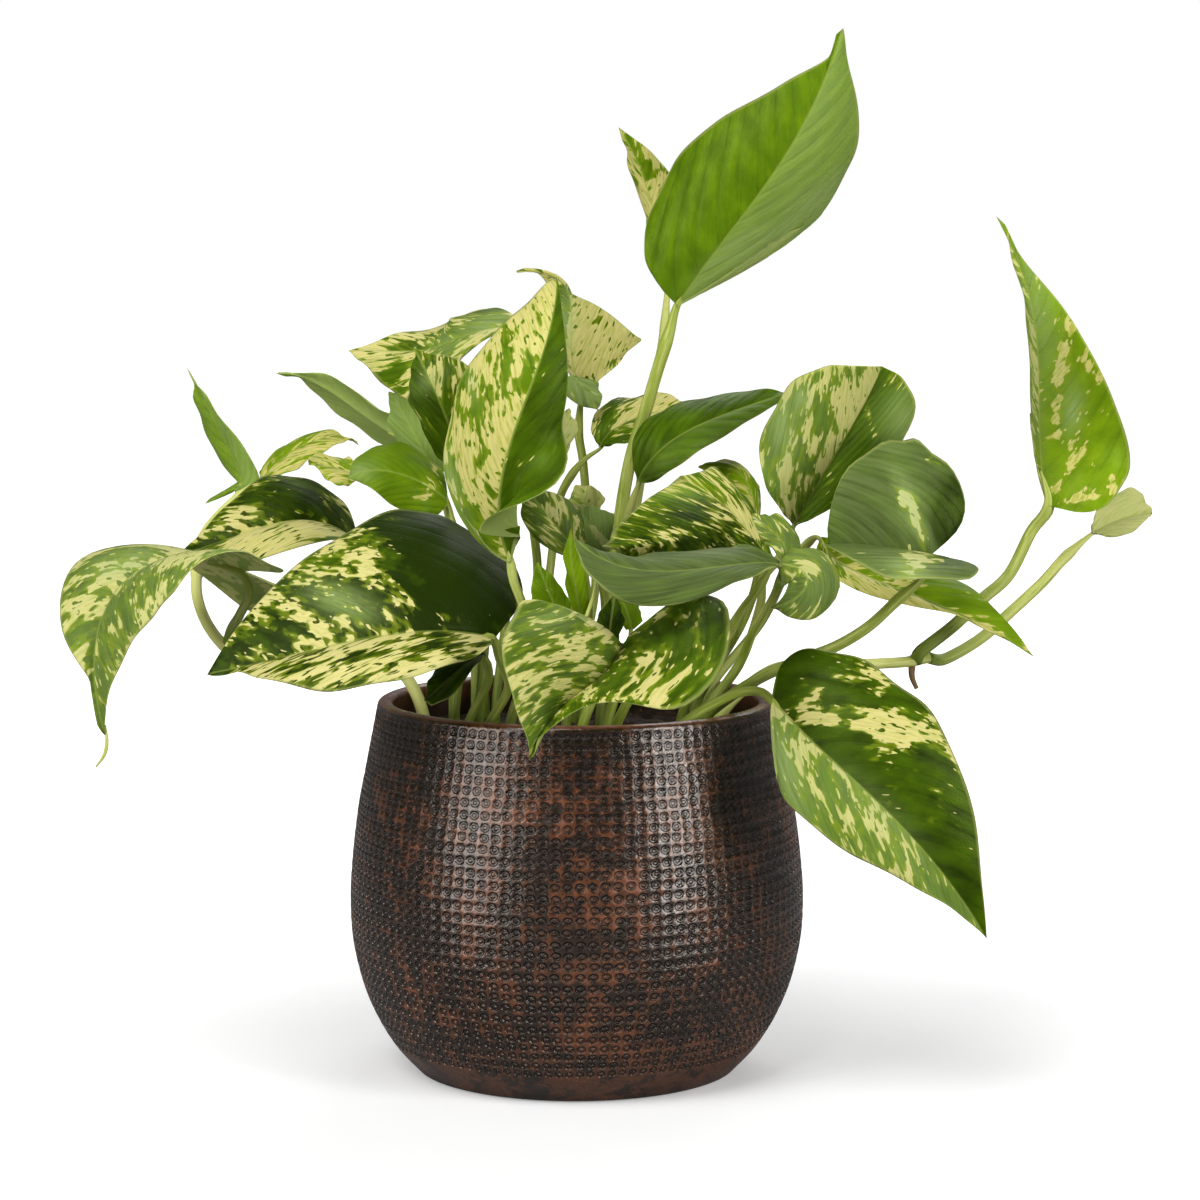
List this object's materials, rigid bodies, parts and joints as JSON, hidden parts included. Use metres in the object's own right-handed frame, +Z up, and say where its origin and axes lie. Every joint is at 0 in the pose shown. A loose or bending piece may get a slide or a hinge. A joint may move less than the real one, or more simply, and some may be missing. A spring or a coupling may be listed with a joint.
{
  "type": "potted pothos plant",
  "caption": "Trailing house plant with marbled heart-shaped leaves on long stalks, in a round stamped clay pot with a narrower mouth.",
  "frame": {"origin": "middle of the pot's flat underside", "axes": "+Z up, -Y towards the front of the plant as pictured, +X to the right seen from the front"},
  "size_m": [0.4616, 0.2472, 0.4336],
  "materials": {
    "glazed_clay": "satin",
    "potting_mix": "matte",
    "stem": "satin",
    "leaf_marbled": "satin",
    "leaf_green": "satin"
  },
  "bodies": {
    "root": {"pot": "glazed_clay", "soil": "potting_mix", "vine_left": "stem", "vine_right": "stem", "leaf_tall": "leaf_green", "leaf_narrow": "leaf_marbled", "leaf_fan": "leaf_marbled", "leaf_upright": "leaf_marbled", "leaf_front_left": "leaf_marbled", "leaf_dome_left": "leaf_marbled", "leaf_far_left": "leaf_marbled", "leaf_spear": "leaf_green", "leaf_arching": "leaf_marbled", "leaf_grey_left": "leaf_green", "leaf_folded": "leaf_marbled", "leaf_dark_left": "leaf_marbled", "leaf_grey_middle": "leaf_green", "leaf_green_dome": "leaf_green", "leaf_small_twisted": "leaf_marbled", "leaf_front": "leaf_marbled", "leaf_long_grey": "leaf_green", "leaf_dome_centre": "leaf_marbled", "leaf_back_yellow": "leaf_marbled", "leaf_round_variegated": "leaf_marbled", "leaf_blue_round": "leaf_marbled", "leaf_long_point": "leaf_marbled", "leaf_long_green": "leaf_green", "leaf_behind_tall": "leaf_marbled", "leaf_pale_behind": "leaf_marbled", "leaf_small_pale": "leaf_marbled", "leaf_mottled": "leaf_marbled", "leaf_grey_wedge": "leaf_green", "leaf_bright_strip": "leaf_green", "leaf_olive": "leaf_green", "leaf_dark_small": "leaf_green", "leaf_bright_small": "leaf_green", "leaf_low_right": "leaf_marbled", "leaf_right_upright": "leaf_marbled", "leaf_far_right": "leaf_marbled", "leaf_under": "leaf_green"}
  },
  "joints": []
}
